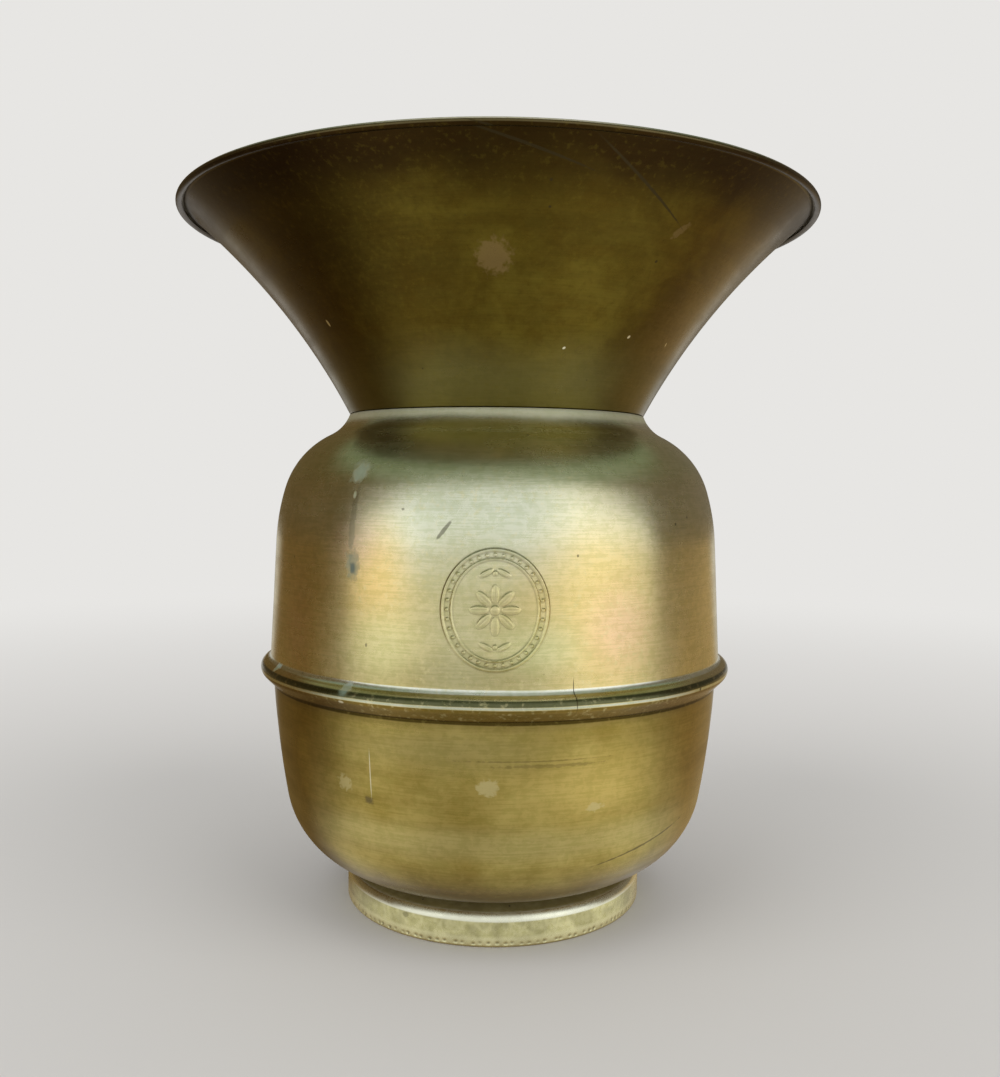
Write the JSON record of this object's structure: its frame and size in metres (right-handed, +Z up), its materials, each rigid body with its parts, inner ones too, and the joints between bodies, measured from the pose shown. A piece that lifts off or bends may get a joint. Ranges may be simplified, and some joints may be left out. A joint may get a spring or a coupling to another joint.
{
  "type": "spittoon",
  "caption": "Spun brass spittoon: a wide lift-out funnel in the neck of a rounded two-part body with a rolled waist bead, on a weighted ring foot.",
  "frame": {"origin": "centre of the foot's underside, on the surface that it stands on", "axes": "+Z up along the vessel's axis; -Y is the front, where the cartouche is"},
  "size_m": [0.2564, 0.2564, 0.28],
  "materials": {
    "funnel_brass": "spun brass under a dark olive-brown patina",
    "body_brass": "worn polished brass with golden mottling and a little verdigris",
    "bowl_brass": "satin brass with fine spun lines round it",
    "foot_brass": "satin brass, pale on the shoulder and dull on the band",
    "plate_brass": "dull unpolished brass",
    "steel_wire": "plain drawn wire",
    "solder": "dull soft solder",
    "cast_iron": "rough casting"
  },
  "bodies": {
    "body": {"upper_body": "body_brass", "lower_bowl": "bowl_brass", "waist_solder": "solder", "foot_ring": "foot_brass", "foot_solder": "solder", "ballast_weight": "cast_iron", "base_plate": "plate_brass"},
    "funnel": {"mouth_funnel": "funnel_brass", "rim_wire": "steel_wire"}
  },
  "joints": [
    {"name": "funnel_lift", "type": "slide", "parent": "body", "child": "funnel", "axis": [0, 0, 1], "range_m": [0, 0.06]}
  ]
}
